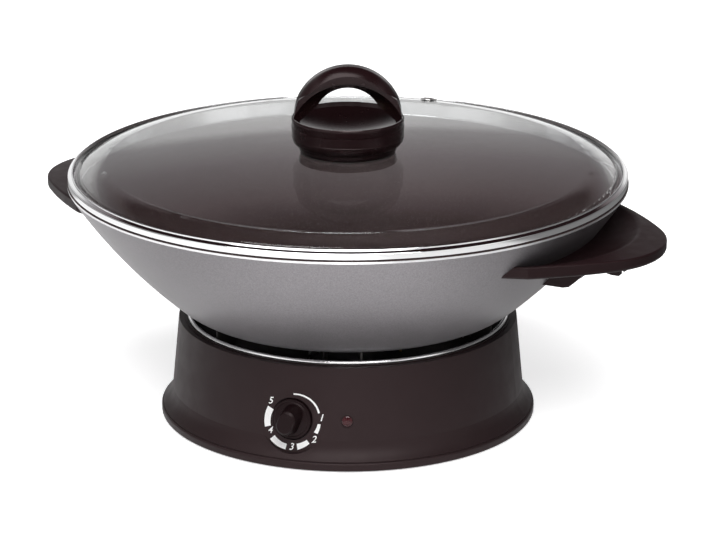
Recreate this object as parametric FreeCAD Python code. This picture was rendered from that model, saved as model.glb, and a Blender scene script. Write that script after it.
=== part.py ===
"""Electric wok: a round electric base, a lift-off pan with two side handles, and a lift-off glass lid.

Millimetres. +Z is up, and z = 0 is the surface that the rubber feet stand on. The pan's handles lie
along X. The base, the pan and the lid are each modelled in their own axes. The base is then turned by
base_turn and the lid by lid_turn about Z, because round loose parts are never set down quite square.
"""
import FreeCAD, Part
import math
import os

V = FreeCAD.Vector
UP = V(0, 0, 1)
ORIGIN = V(0, 0, 0)

# How the loose parts are set down, degrees about Z
base_turn = 8.1
lid_turn = 26.1

# Clearances
rest_gap = 0.3          # under a loose part that rests on another
shaft_clearance = 0.06  # radial, spindle in its bushing
fit_gap = 0.2           # round a piece that drops into a pocket

# Pan
pan_lip_radius = 180.0
pan_lip_top = 157.2
pan_lip_height = 1.7    # upright polished edge
pan_lip_width = 3.6
pan_floor_z = 70.0      # underside of the flat bottom
pan_floor_radius = 87.0
pan_knee_radius = 40.0
pan_knee_turn = 40.0    # slope of the wall where the knee ends, degrees
pan_wall = 2.0

# Side handles
handle_overhang = 35.5      # beyond the pan's lip
handle_nose_radius = 56.0
handle_flank_start = 42.5   # from the handle's axis to where nose and flank meet, degrees
handle_flank_radius = 260.0
handle_half_width = 75.0
handle_tip_radius = 2.5
handle_root_flare = 24.0     # widening of the part inside the pan wall, cut away by it
handle_edge_drop = 18.9     # upper edge below the top of the pan's lip
handle_edge_thick = 6.9
handle_rise = 1.5       # the upper face climbs this much from the edge to the crease
handle_crease_inset = 20.5  # from the nose to the crease where the dish starts
handle_dish_radius = 88.0
handle_dish_width = 25.0
handle_dish_depth = 6.8
handle_belly_depth = 8.0
handle_top_round = 1.2
handle_bottom_round = 2.4
grip_rib_drop = 6.2
grip_rib_spread = 50.0      # across both webs
grip_rib_thick = 4.0
grip_rib_inset = 52.0       # from the nose to where the wedge starts
grip_rib_length = 34.8
grip_rib_flat = 5.5
small_rib_inset = 16.5
small_rib_length = 3.3
small_rib_flat = 1.8
small_rib_drop = 2.8
handle_foot_below = 10.7    # bottom of the foot below the bracket's stud
handle_foot_width = 30.0
handle_foot_thick = 12.6
bracket_drop = 37.7     # from the top of the lip to where the bracket's stud meets the pan wall
bracket_plate = 2.0
bracket_width = 20.0
bracket_stud_radius = 5.0
bracket_stud_length = 4.5
handle_screw_radius = 2.5
handle_screw_head_radius = 4.6
handle_screw_head_height = 2.6
handle_screw_seat = 7.4  # from the pan wall to the seat of the head

# Lid
rim_inset = 0.4         # the lid's rim inside the edge of the pan's lip
rim_sheet = 0.7
rim_band_height = 4.6
rim_band_round = 0.8
rim_flange_width = 6.0
rim_flange_rise = 0.9
rim_skirt_gap = 1.2     # radial, from the inside of the pan's lip
rim_skirt_taper = 2.3
rim_skirt_drop = 8.2    # below the top of the pan's lip
rim_hem = 0.7           # half-round hem inside the skirt's foot
glass_thick = 3.2
glass_edge_gap = 0.4
glass_step_width = 3.0      # concave step inside the rim
glass_step_rise = 1.3
glass_shoulder_inset = 24.6     # from the rim
glass_shoulder_rise = 7.1       # above the glass's edge
glass_shoulder_bulge = 1.0
glass_crown = 5.7           # rise from the shoulder to the centre
glass_hole_radius = 4.5
vent_inset = 19.6           # from the rim
vent_bearing = 69.8         # degrees from the lid's +X
vent_flange_radius = 5.8
vent_tube_radius = 3.5
vent_bore_radius = 2.5
vent_flange_thick = 0.8

# Lid knob
knob_seat_radius = 30.4
knob_seat_thick = 0.9
knob_base_radius = 31.0
knob_base_top_radius = 31.8
knob_base_height = 4.3
saucer_rim_radius = 36.0
saucer_rim_height = 23.2    # above the glass
saucer_rim_thick = 2.0
saucer_band = 5.4           # upright band under the rim, above the groove
saucer_depth = 8.7
saucer_turn = 5.2            # height over which the underside curves in
saucer_step = 0.7            # the underside's foot stands this far outside the disc below it
arch_centre_height = 21.3   # this and the next heights are above the glass
arch_outer_radius = 34.6
arch_half_depth = 9.4
arch_opening_radius = 21.9  # at mid depth
arch_opening_height = 19.9
arch_face_radius = 38.2     # where the flared opening meets the front and back
arch_face_height = 8.0
arch_cap_half_depth = 11.2
arch_cap_overhang = 0.6     # outside the band
arch_cap_cut_radius = 48.0  # lower edge of the crescent cap
arch_cap_cut_height = -0.7
arch_hollow_radius = 31.0   # space under the arch's feet, over the dish
arch_hollow_foot = 21.5
arch_hollow_slope = 36.6    # degrees
knob_insert_radius = 4.6
knob_insert_length = 6.0
knob_screw_radius = 3.0
knob_screw_head_radius = 6.0
knob_screw_head_height = 3.0
knob_washer_radius = 11.0
knob_washer_thick = 1.0
knob_seal_thick = 0.8

# Base housing
housing_top_radius = 109.7
housing_top = 65.8
housing_wall = 3.0
housing_wall_lean = 5.6     # degrees from upright
housing_top_round = 0.9
housing_flare_top = 18.0
housing_flare_foot_radius = 120.6
housing_flare_foot = 6.4
housing_skirt_radius = 121.9
housing_skirt_top = 6.1
housing_foot_gap = 1.0      # under the skirt
housing_lip_inset = 4.8     # from the top's outer edge to the raised inner lip
housing_inner_lip_width = 0.9
housing_inner_lip_rise = 0.6
housing_ledge_width = 2.6
housing_ledge_thick = 2.4

# Dial, pilot lamp and cord gland on the housing wall
dial_height = 31.0
dial_recess_radius = 22.0
dial_well_depth = 2.2       # round well in the recess that the dial's skirt sits in
dial_well_gap = 0.7         # radial, round the skirt
dial_pad_radius = 15.6
dial_pad_depth = 6.0        # thickness behind the well
bushing_radius = 4.9
bushing_reach = 2.6         # this and the next depths are from the floor of the well
bushing_hole_gap = 0.1
nut_width = 13.0
nut_thick = 2.0
dial_skirt_radius = 12.9
dial_skirt_height = 3.0
dial_floor_gap = 0.6
dial_dome_height = 1.2
dial_bar_length = 20.8
dial_bar_width = 13.4
dial_bar_height = 10.8
dial_bar_lean = 1.3
dial_bar_turn = 20.0        # clockwise from upright, as it is left
dial_cavity_radius = 8.4
dial_cavity_gap = 0.3       # above the bushing
spindle_radius = 3.0
spindle_reach = 11.0
spindle_depth = 16.0
spindle_flat = 1.0
thermostat_width = 30.0
thermostat_height = 24.0
thermostat_depth = 15.0
lamp_bearing = 17.8         # degrees round from the dial
lamp_height = 31.3
lamp_radius = 3.3
lamp_bezel_radius = 4.2
lamp_bezel_depth = 0.6
lamp_dome = 0.9
lamp_flange_radius = 5.2
lamp_flange_thick = 1.4
neon_radius = 2.2
neon_length = 11.0
gland_height = 30.0
gland_radius = 6.0
gland_flange_radius = 8.4
gland_flange_thick = 1.8
gland_bore_radius = 3.6

# Reflector bowl
bowl_roll_radius = 1.4
bowl_roll_gap = 0.6     # radial, in the housing's mouth
bowl_sheet = 0.8
bowl_depth = 23.8       # floor below the housing's top
bowl_floor_radius = 82.0
bowl_wall_foot = 20.0       # how far below the rim the wall starts to curve in
support_count = 6
support_start = -67.2
support_thick = 1.2
support_overlap = 1.0       # under the edge of the pan's flat bottom
support_drop = 12.0

# Heating element
element_radius = 3.7
element_outer_turn = 70.0
element_inner_turn = 52.0
element_gap_angle = 13.0    # half the opening of the outer turn, degrees
element_bend = 9.0
element_leg_bottom = 33.0
element_pin_radius = 1.6
element_pin_length = 9.0
cradle_count = 3
cradle_start = -90.0
cradle_thick = 1.2

# Pillars inside the housing, cover, feet and screws
pillar_count = 4
pillar_start = 45.0
bowl_screw_inset = 5.0      # from the edge of the bowl's floor
bowl_pillar_radius = 5.0
pillar_low = 26.0
cover_screw_inset = 15.5    # from the cover's edge
cover_pillar_radius = 4.5
cover_pillar_top = 30.0
pillar_web = 3.0
small_screw_radius = 1.7
small_screw_head_radius = 3.6
small_screw_head_height = 1.5
small_screw_length = 11.0
cover_gap = 0.4         # radial, in the housing's skirt
cover_low = 2.4
cover_thick = 2.0
cover_slot_count = 12
cover_slot_inner = 34.0
cover_slot_outer = 60.0
cover_slot_width = 4.0
foot_count = 4
foot_start = 0.0
foot_inset = 20.5           # from the cover's edge
foot_radius = 8.0
foot_plug_radius = 3.0
foot_head_radius = 4.4
foot_head_height = 1.6

# Electrics on the cover and under the bowl
sensor_radius = 2.4
sensor_length = 56.0
sensor_gap = 5.6        # from the bulb to the pan's bottom
sensor_strip = 1.0
sensor_strip_width = 8.0
sensor_post_x = 18.0
capillary_radius = 0.8
capillary_bend = 6.0
terminal_length = 40.0
terminal_width = 18.0
terminal_height = 15.0
terminal_y = 72.0
terminal_ways = 3
fuse_radius = 3.2
fuse_length = 16.0
fuse_y = -44.0


# Places that follow from the sizes above
handle_reach = pan_lip_radius + handle_overhang
handle_edge_top = pan_lip_top - handle_edge_drop
handle_edge_bottom = handle_edge_top - handle_edge_thick
handle_dish_centre = handle_reach - handle_crease_inset - handle_dish_radius
bracket_height = pan_lip_top - bracket_drop
handle_foot_bottom = bracket_height - handle_foot_below
rim_radius = pan_lip_radius - rim_inset
rim_low = pan_lip_top + 0.1
rim_band_top = rim_low + rim_band_height
rim_skirt_top_radius = pan_lip_radius - pan_lip_width - rim_skirt_gap
rim_skirt_foot_radius = rim_skirt_top_radius - rim_skirt_taper
rim_skirt_foot_z = pan_lip_top - rim_skirt_drop
channel_low = rim_low + rim_sheet
glass_radius = rim_radius - rim_sheet - glass_edge_gap
glass_edge_top = channel_low + glass_thick
glass_shoulder_radius = rim_radius - glass_shoulder_inset
glass_shoulder_z = glass_edge_top + glass_shoulder_rise
vent_distance = rim_radius - vent_inset
housing_inner_lip_radius = housing_top_radius - housing_lip_inset
bowl_roll_centre = housing_inner_lip_radius - bowl_roll_radius - bowl_roll_gap
bowl_floor_z = housing_top - bowl_depth
bowl_screw_circle = bowl_floor_radius - bowl_screw_inset
cover_radius = housing_skirt_radius - housing_wall - cover_gap
cover_screw_circle = cover_radius - cover_screw_inset
foot_circle = cover_radius - foot_inset
sensor_height = pan_floor_z - sensor_gap - sensor_radius


# ---------------------------------------------------------------- small tools

def side(point):
    """Place a (radius, height) pair in the XZ plane."""
    return V(point[0], 0, point[1])


def outline_face(start, *steps):
    """Closed face in the XZ plane. A step is an end point, or (mid point, end point) of an arc."""
    edges = []
    here = start
    for step in steps:
        if isinstance(step[0], tuple):
            middle, end = step
            edges.append(Part.Arc(side(here), side(middle), side(end)).toShape())
        else:
            end = step
            edges.append(Part.LineSegment(side(here), side(end)).toShape())
        here = end
    if math.dist(here, start) > 1e-6:
        edges.append(Part.LineSegment(side(here), side(start)).toShape())
    return Part.Face(Part.Wire(edges))


def spin(face, turn=360.0):
    """Revolve a face of the XZ plane about Z."""
    return face.revolve(ORIGIN, UP, turn)


def spun(start, *steps):
    """Solid of revolution of an outline."""
    return spin(outline_face(start, *steps))


def plate(thickness, start, *steps):
    """Upright plate, centred on y = 0, with an outline in the XZ plane."""
    face = outline_face(start, *steps)
    face.translate(V(0, -thickness / 2, 0))
    return face.extrude(V(0, thickness, 0))


def drum(radius, low, high, x=0.0, y=0.0):
    """Upright cylinder between two heights."""
    return Part.makeCylinder(radius, high - low, V(x, y, low))


def block(low, high):
    """Box between two corners."""
    return Part.makeBox(high[0] - low[0], high[1] - low[1], high[2] - low[2], V(*low))


def moved(shape, step):
    """Copy of a shape, moved by a vector."""
    copy = shape.copy()
    copy.translate(step)
    return copy


def turned(shape, angle):
    """Copy of a shape, turned about Z."""
    copy = shape.copy()
    copy.rotate(ORIGIN, UP, angle)
    return copy


def ring_of(shape, count, start):
    """Copies of a shape, evenly round Z."""
    return [turned(shape, start + 360.0 * i / count) for i in range(count)]


def joined(shapes):
    """One solid from several that touch or overlap."""
    return shapes[0].fuse(shapes[1:]).removeSplitter()


def less(shape, tools):
    """Shape with every tool cut from it."""
    return shape.cut(tools)


def grouped(shapes):
    """Separate solids kept in one node."""
    return Part.makeCompound(shapes)


def on_circle(radius, angle, z=0.0):
    """Point at an angle in degrees from +X."""
    return V(radius * math.cos(math.radians(angle)), radius * math.sin(math.radians(angle)), z)


def arc_middle(start, end, bulge):
    """Mid point of the arc from start to end that stands bulge to the left of its chord."""
    length = math.dist(start, end)
    along = ((end[0] - start[0]) / length, (end[1] - start[1]) / length)
    return ((start[0] + end[0]) / 2 - along[1] * bulge, (start[1] + end[1]) / 2 + along[0] * bulge)


def crown_middle(edge, centre):
    """Mid point of the arc from an edge to a centre on the axis, level at the centre."""
    rise = edge[1] - centre[1]
    radius = (edge[0] ** 2 + rise ** 2) / (2 * rise)
    half = edge[0] / 2
    drop = abs(radius) - math.sqrt(radius ** 2 - half ** 2)
    return (half, centre[1] + math.copysign(drop, rise))


def arc_circle(start, middle, end):
    """Centre and radius of the circle through three (radius, height) points."""
    circle = Part.Arc(side(start), side(middle), side(end)).toShape().Curve
    return (circle.Center.x, circle.Center.z), circle.Radius


# ---------------------------------------------------------------- pan wall geometry

def at_heading(centre, radius, heading):
    """Point of a bowl's arc where the wall climbs at a heading in degrees from level."""
    angle = math.radians(heading)
    return (centre[0] + radius * math.sin(angle), centre[1] - radius * math.cos(angle))


pan_lip_low = pan_lip_top - pan_lip_height
knee_centre = (pan_floor_radius, pan_floor_z + pan_knee_radius)
knee_end = at_heading(knee_centre, pan_knee_radius, pan_knee_turn)
wall_chord = math.dist(knee_end, (pan_lip_radius, pan_lip_low))
wall_climb = math.degrees(math.atan2(pan_lip_low - knee_end[1], pan_lip_radius - knee_end[0]))
wall_radius = wall_chord / (2 * math.sin(math.radians(wall_climb - pan_knee_turn)))
wall_centre = at_heading(knee_end, -wall_radius, pan_knee_turn)


def wall_heading(z, offset=0.0):
    """Slope of the pan wall, degrees from level, where a surface offset from it has height z."""
    return math.degrees(math.acos((wall_centre[1] - z) / (wall_radius + offset)))


def wall_point(z, offset=0.0):
    """(radius, height) on a surface offset outwards from the pan's outer wall."""
    return at_heading(wall_centre, wall_radius + offset, wall_heading(z, offset))


def pan_outline_steps(offset, top):
    """Steps from the centre of a surface offset from the pan's outside, up its wall to a height."""
    knee = pan_knee_radius + offset
    wall = wall_radius + offset
    middle = (pan_knee_turn + wall_heading(top, offset)) / 2
    return [
        (pan_floor_radius, pan_floor_z - offset),
        (at_heading(knee_centre, knee, pan_knee_turn / 2), at_heading(knee_centre, knee, pan_knee_turn)),
        (at_heading(wall_centre, wall, middle), wall_point(top, offset)),
    ]


def pan_blank(offset=0.0):
    """Filled pan, grown by an offset, for cutting what lies against it."""
    steps = pan_outline_steps(offset, pan_lip_low)
    edge = wall_point(pan_lip_low, offset)[0]
    return spun((0, pan_floor_z - offset), *steps, (edge, pan_lip_top), (0, pan_lip_top))


def pan_shell():
    """Dished pan with a flat bottom, a rounded knee and an upright lip."""
    ledge_radius = pan_lip_radius - pan_lip_width
    reach = (ledge_radius - wall_centre[0]) / (wall_radius - pan_wall)
    ledge_foot = at_heading(wall_centre, wall_radius - pan_wall, math.degrees(math.asin(reach)))
    inner = pan_outline_steps(-pan_wall, ledge_foot[1])
    edge = 0.4
    blank = spun((0, pan_floor_z), *pan_outline_steps(0.0, pan_lip_low),
                 (pan_lip_radius, pan_lip_top - edge), (pan_lip_radius - edge, pan_lip_top), (0, pan_lip_top))
    hollow = spun((0, pan_floor_z + pan_wall), *inner, (ledge_radius, pan_lip_top + 1), (0, pan_lip_top + 1))
    return less(blank, [hollow])


# ---------------------------------------------------------------- handles, modelled on +X

def handle_plan(z):
    """Plan of a handle at a height, with sharp tips: a round nose and slightly convex flanks."""
    centre_x = handle_reach - handle_nose_radius
    start = math.radians(handle_flank_start)
    flank_x = centre_x - (handle_flank_radius - handle_nose_radius) * math.cos(start)
    flank_y = -(handle_flank_radius - handle_nose_radius) * math.sin(start)
    end = math.asin((handle_half_width - flank_y) / handle_flank_radius)
    touch, middle, tip = [V(flank_x + handle_flank_radius * math.cos(angle),
                            flank_y + handle_flank_radius * math.sin(angle), z)
                          for angle in (start, (start + end) / 2, end)]
    root = V(pan_floor_radius, handle_half_width + handle_root_flare, z)
    edges = [
        Part.Arc(touch, middle, tip).toShape(),
        Part.LineSegment(tip, root).toShape(),
        Part.LineSegment(root, other_hand(root)).toShape(),
        Part.LineSegment(other_hand(root), other_hand(tip)).toShape(),
        Part.Arc(other_hand(tip), other_hand(middle), other_hand(touch)).toShape(),
        Part.Arc(other_hand(touch), V(handle_reach, 0, z), touch).toShape(),
    ]
    return Part.Face(Part.Wire(edges)), tip


def other_hand(point):
    """The same point on the -Y side."""
    return V(point.x, -point.y, point.z)


def handle_prism(low, high):
    """Handle plan between two heights, its tips rounded."""
    face, tip = handle_plan(low)
    prism = face.extrude(V(0, 0, high - low))
    tips = [edge for edge in prism.Edges if is_upright_at(edge, tip.x, tip.y)]
    return prism.makeFillet(handle_tip_radius, tips)


def is_upright_at(edge, x, y):
    """True for an upright edge over (x, y) or (x, -y)."""
    box = edge.BoundBox
    return box.ZLength > 0.5 and abs(box.Center.x - x) < 0.1 and abs(abs(box.Center.y) - y) < 0.1


def handle_paddle():
    """Wing with a thumb dish beside the pan: the plan, cut to a profile turned about the dish centre."""
    crease = (handle_dish_radius, handle_edge_top + handle_rise)
    brow = (crease[0] + 1.8, crease[1] - 0.13)
    brink = (crease[0] - 1.6, crease[1] - 0.87)
    floor = (handle_dish_radius - handle_dish_width, crease[1] - handle_dish_depth)
    belly = handle_edge_bottom - handle_belly_depth
    far = handle_reach - handle_dish_centre + 6
    profile = spun((0, belly), (floor[0] - 4, belly), (handle_dish_radius - 5, handle_edge_bottom),
                   (far, handle_edge_bottom), (far, handle_edge_top), brow,
                   (arc_middle(brow, brink, -0.25), brink), (arc_middle(brink, floor, 1.4), floor),
                   (0, floor[1]))
    profile = turned(profile, 180)
    profile.translate(V(handle_dish_centre, 0, 0))
    wing = handle_prism(belly - 1, crease[1] + 1).common(profile)
    middle = (handle_edge_top + handle_edge_bottom) / 2
    upper = [edge for edge in wing.Edges if is_outer_edge(edge) and edge.BoundBox.ZMin > middle]
    wing = wing.makeFillet(handle_top_round, upper)
    lower = [edge for edge in wing.Edges if is_outer_edge(edge) and edge.BoundBox.ZMax < middle]
    return wing.makeFillet(handle_bottom_round, lower)


def is_outer_edge(edge):
    """True for the upper and lower edges that run round the outside of the wing."""
    middle = edge.valueAt((edge.FirstParameter + edge.LastParameter) / 2)
    upright = edge.BoundBox.ZLength > (handle_edge_top - handle_edge_bottom) * 0.6
    outside = math.hypot(middle.x - handle_dish_centre, middle.y) > handle_dish_radius + 2
    return outside and not upright and middle.x > pan_floor_radius + 1


def grip_ribs():
    """Two webs under the wing, each with a wedge and a small stop for the fingers."""
    top = handle_edge_bottom + 0.4
    ribs = []
    for inset, length, flat, drop in ((grip_rib_inset, grip_rib_length, grip_rib_flat, grip_rib_drop),
                                      (small_rib_inset, small_rib_length, small_rib_flat, small_rib_drop)):
        inner = handle_reach - inset
        outer = inner + length
        low = handle_edge_bottom - drop
        rib = plate(grip_rib_thick, (inner, top), (outer - flat, low), (outer - 0.6, low), (outer, low + 0.6),
                    (outer, top))
        shift = (grip_rib_spread - grip_rib_thick) / 2
        ribs += [moved(rib, V(0, shift, 0)), moved(rib, V(0, -shift, 0))]
    return ribs


def square_to_wall(shape):
    """Move a shape modelled on +Z from the origin to the bracket point, square to the pan wall."""
    foot = wall_point(bracket_height)
    copy = shape.copy()
    copy.rotate(ORIGIN, V(0, 1, 0), 180 - wall_heading(bracket_height))
    copy.translate(side(foot))
    return copy


def bracket_pad(thickness, width, length):
    """Curved plate on the pan wall, carried on into the wall."""
    window = square_to_wall(block((-length / 2, -width / 2, -6), (length / 2, width / 2, 8)))
    return pan_blank(thickness).common(window)


def handle_bracket():
    """Plate welded to the pan, with a tapped stud."""
    stud = square_to_wall(drum(bracket_stud_radius, 0.6, bracket_plate + bracket_stud_length))
    body = joined([bracket_pad(bracket_plate, bracket_width, bracket_width), stud])
    return less(body, [pan_blank(), square_to_wall(drum(handle_screw_radius, bracket_plate, 20))])


def handle_screw():
    """Pan head screw, square to the wall."""
    shank = drum(handle_screw_radius, bracket_plate + 0.3, handle_screw_seat + 0.2)
    head = drum(handle_screw_head_radius, handle_screw_seat, handle_screw_seat + handle_screw_head_height)
    slot = block((-handle_screw_head_radius, -0.6, handle_screw_seat + handle_screw_head_height - 1.1),
                 (handle_screw_head_radius, 0.6, handle_screw_seat + handle_screw_head_height + 1))
    return square_to_wall(less(joined([shank, head]), [slot]))


def handle():
    """Wing, foot down the pan wall, ribs, and the pockets for bracket and screw."""
    foot_low = wall_point(handle_foot_bottom)
    top = handle_edge_bottom - handle_belly_depth + 3
    low_face = (foot_low[0] + handle_foot_thick * 1.35, handle_foot_bottom + 1)
    top_face = (wall_point(top)[0] + handle_foot_thick * 1.5, top)
    foot = plate(handle_foot_width, (pan_floor_radius + 30, handle_foot_bottom),
                 (low_face[0] - 4, handle_foot_bottom), low_face, top_face, (pan_floor_radius + 30, top))
    body = joined([handle_paddle(), foot] + grip_ribs())
    slack = 2 * fit_gap
    pocket = bracket_pad(bracket_plate + fit_gap, bracket_width + slack, bracket_width + slack)
    stud = drum(bracket_stud_radius + fit_gap, 0, bracket_plate + bracket_stud_length + fit_gap)
    clear = drum(handle_screw_radius + fit_gap, 0, 20)
    counterbore = drum(handle_screw_head_radius + fit_gap, handle_screw_seat, 30)
    return less(body, [pan_blank(), pocket] + [square_to_wall(tool) for tool in (stud, clear, counterbore)])


# ---------------------------------------------------------------- lid

rim_bevel = 0.8
flange_inner = rim_radius - rim_flange_width
flange_slope = rim_flange_rise / rim_flange_width


def glass_points():
    """Upper side of the glass, from the edge to the centre."""
    edge = (glass_radius, glass_edge_top)
    inner = flange_inner + 0.3
    step = (inner, glass_edge_top + (glass_radius - inner) * flange_slope)
    bend = (inner - glass_step_width, step[1] + glass_step_rise)
    shoulder = (glass_shoulder_radius, glass_shoulder_z)
    return edge, step, bend, shoulder, (0.0, glass_shoulder_z + glass_crown)


def glass_arcs():
    """Mid points of the step, the shoulder and the crown."""
    _, step, bend, shoulder, centre = glass_points()
    shoulder_middle = arc_middle(bend, shoulder, -glass_shoulder_bulge)
    return arc_middle(step, bend, 0.25), shoulder_middle, crown_middle(shoulder, centre)


def glass_side(drop):
    """Steps along one side of the glass, lowered by drop, from the edge to the centre."""
    lower = [(r, z - drop) for r, z in glass_points()]
    middles = [(r, z - drop) for r, z in glass_arcs()]
    edge, step, bend, shoulder, centre = lower
    return [edge, step, (middles[0], bend), (middles[1], shoulder), (middles[2], centre)]


def backwards(steps):
    """The same outline, walked the other way: points and arc mid points in reverse order."""
    ends = [step[1] if isinstance(step[0], tuple) else step for step in steps]
    out = [ends[-1]]
    for i in range(len(steps) - 1, 0, -1):
        middle = steps[i][0] if isinstance(steps[i][0], tuple) else None
        out.append((middle, ends[i - 1]) if middle else ends[i - 1])
    return out


def glass_height(radius):
    """Height and slope of the glass's upper side on its shoulder."""
    _, _, bend, shoulder, _ = glass_points()
    centre, arc = arc_circle(bend, glass_arcs()[1], shoulder)
    slope = math.asin((radius - centre[0]) / arc)
    return centre[1] + arc * math.cos(slope), math.degrees(slope)


def on_vent(shape):
    """Move a shape modelled on +Z at the origin to the vent, square to the glass."""
    height, slope = glass_height(vent_distance)
    copy = shape.copy()
    copy.rotate(ORIGIN, V(0, 1, 0), slope)
    copy.translate(V(vent_distance, 0, height))
    return turned(copy, vent_bearing)


glass_top = glass_points()[-1][1]
glass_under = glass_top - glass_thick


def lid_glass():
    """Domed glass with a stepped edge, a knob hole and a vent hole."""
    upper = glass_side(0.0)
    lower = backwards(glass_side(glass_thick))
    dome = spun(upper[0], *upper[1:], *lower)
    hole = drum(glass_hole_radius, glass_under - 5, glass_top + 5)
    return less(dome, [hole, on_vent(drum(vent_tube_radius + 0.1, -10, 10))])


def lid_rim():
    """Channel of polished sheet that holds the glass, with a hemmed skirt that drops into the pan."""
    inner_low = flange_inner - 0.1
    under = rim_band_top + rim_flange_rise - rim_sheet
    wall_in = rim_radius - rim_sheet
    skirt_inner = rim_skirt_foot_radius - rim_sheet
    band_corner = (rim_radius - rim_band_round, rim_band_top)
    corner_middle = (rim_radius - rim_band_round * 0.3, rim_band_top - rim_band_round * 0.3)
    return spun((rim_radius, rim_low + rim_bevel), (rim_radius, rim_band_top - rim_band_round),
                (corner_middle, band_corner), (flange_inner + 0.3, rim_band_top + rim_flange_rise),
                (inner_low, under + rim_sheet * 0.6), (flange_inner, under),
                (wall_in, rim_band_top - rim_sheet), (wall_in, channel_low),
                (rim_skirt_top_radius - rim_sheet, channel_low),
                (skirt_inner, rim_skirt_foot_z + 2 * rim_hem),
                ((skirt_inner - rim_hem, rim_skirt_foot_z + rim_hem), (skirt_inner, rim_skirt_foot_z)),
                (rim_skirt_foot_radius, rim_skirt_foot_z), (rim_skirt_top_radius, rim_low),
                (rim_radius - rim_bevel, rim_low))


def vent_eyelet():
    """Steel eyelet through the glass."""
    depth = glass_thick + 1.4
    body = spun((vent_bore_radius, -depth), (vent_flange_radius - 0.8, -depth),
                (vent_flange_radius - 0.8, -depth + vent_flange_thick),
                (vent_tube_radius, -depth + vent_flange_thick), (vent_tube_radius, 0.1),
                (vent_flange_radius, 0.1), (vent_flange_radius - 0.3, 0.1 + vent_flange_thick * 0.6),
                (vent_bore_radius + 0.8, 0.1 + vent_flange_thick * 1.3), (vent_bore_radius, 0.4))
    return on_vent(body)


# ---------------------------------------------------------------- lid knob

seat_top = glass_top + knob_seat_thick
base_top = seat_top + knob_base_height
saucer_rim_z = glass_top + saucer_rim_height
arch_z = glass_top + arch_centre_height
insert_top = base_top + knob_insert_length


def knob_seat():
    """Silicone ring between glass and knob; its underside follows the crown."""
    sag = knob_seat_radius ** 2 * glass_crown / glass_shoulder_radius ** 2
    low = glass_top + 0.05
    return spun((glass_hole_radius, low), ((knob_seat_radius / 2, low - sag / 4),
                (knob_seat_radius, low - sag)), (knob_seat_radius, seat_top),
                (glass_hole_radius, seat_top))


def knob_base():
    """Stepped disc that the knob stands on."""
    bore = knob_screw_radius + fit_gap
    return spun((bore, seat_top), (knob_base_radius - 1.2, seat_top), (knob_base_radius, seat_top + 1.0),
                (arc_middle((knob_base_radius, seat_top + 1.0), (knob_base_top_radius, base_top), -0.2),
                 (knob_base_top_radius, base_top)), (bore, base_top))


def crosswise(shape, z):
    """Turn a shape modelled about Z to lie about the knob's depth axis at a height."""
    copy = shape.copy()
    copy.rotate(ORIGIN, V(1, 0, 0), 90)
    copy.translate(V(0, 0, z))
    return copy


def arch_opening():
    """Tool for the finger opening: narrowest in the middle, flaring to the front and back."""
    reach = arch_half_depth * 1.3
    flare = (arch_face_radius - arch_opening_radius) * 1.3
    sink = (arch_opening_height - arch_face_height) * 1.3
    rings = []
    for depth, grow, drop in ((-reach, flare, sink), (0, 0, 0), (reach, flare, sink)):
        centre = V(0, depth, glass_top + arch_opening_height - drop)
        rings.append(Part.Wire(Part.makeCircle(arch_opening_radius + grow, centre, V(0, 1, 0))))
    return Part.makeLoft(rings, True, True)


def arch_hollow():
    """Space that the arch's feet leave over the dish: upright, then leaning in under the opening's flare."""
    foot = glass_top + arch_hollow_foot
    inner = arch_opening_radius * 0.9
    high = foot + (arch_hollow_radius - inner) * math.tan(math.radians(arch_hollow_slope))
    return spun((0, base_top), (arch_hollow_radius, base_top), (arch_hollow_radius, foot), (inner, high),
                (0, high))


def arch_pieces():
    """Strap over the saucer: a band with a flared opening, and a crescent cap that overhangs it."""
    deep = arch_half_depth
    cap_cut_z = glass_top + arch_cap_cut_height
    band = crosswise(drum(arch_outer_radius, -deep, deep), arch_z)
    band = band.common(crosswise(drum(arch_cap_cut_radius + 0.3, -deep, deep), cap_cut_z))
    foot = block((-arch_outer_radius, -deep, base_top + 5), (arch_outer_radius, deep, arch_z))
    within = drum(saucer_rim_radius, base_top + 5, arch_z + arch_outer_radius + 1)
    band = less(joined([band, foot]).common(within), [arch_opening(), arch_hollow()])
    deep = arch_cap_half_depth
    crest = arch_outer_radius + arch_cap_overhang
    blank = spun((0, -deep), (crest - 4.5, -deep), ((crest - 1.1, -deep + 4.2), (crest, -deep + 8.5)),
                 (crest, deep - 8.5), ((crest - 1.1, deep - 4.2), (crest - 4.5, deep)), (0, deep))
    under = crosswise(drum(arch_cap_cut_radius, -deep - 1, deep + 1), cap_cut_z)
    cap = less(crosswise(blank, arch_z), [under])
    return [band, cap]


def lid_knob():
    """Saucer with the arch over it, and a socket for the insert."""
    rim = saucer_rim_radius
    start = (knob_base_top_radius + saucer_step, base_top)
    taper = (rim - 0.1, base_top + saucer_turn)
    groove = (rim + 0.2, saucer_rim_z - saucer_band - 0.6)
    lip = (rim - 0.5, saucer_rim_z)
    inner = (rim - saucer_rim_thick, saucer_rim_z - 2.6)
    centre = (0, saucer_rim_z - saucer_depth)
    brow = (rim + 0.1, saucer_rim_z - 2.2)
    bead = (taper[0] + 0.05, taper[1] + 0.9)
    body = spun((0, base_top), start, (arc_middle(start, taper, -0.9), taper),
                (arc_middle(taper, bead, -0.22), bead), groove,
                (rim - 0.5, groove[1] + 0.3), (rim - 0.2, groove[1] + 0.7), brow,
                (arc_middle(brow, lip, -0.25), lip), (lip[0] - 0.6, saucer_rim_z - 0.1),
                inner, (crown_middle(inner, centre), centre))
    socket = drum(knob_insert_radius, base_top - 1, insert_top)
    return less(joined([body] + arch_pieces()), [socket])


def knob_insert():
    """Threaded brass insert in the foot of the knob."""
    sleeve = drum(knob_insert_radius, base_top, insert_top)
    return less(sleeve, [drum(knob_screw_radius, base_top, insert_top)])


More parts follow.
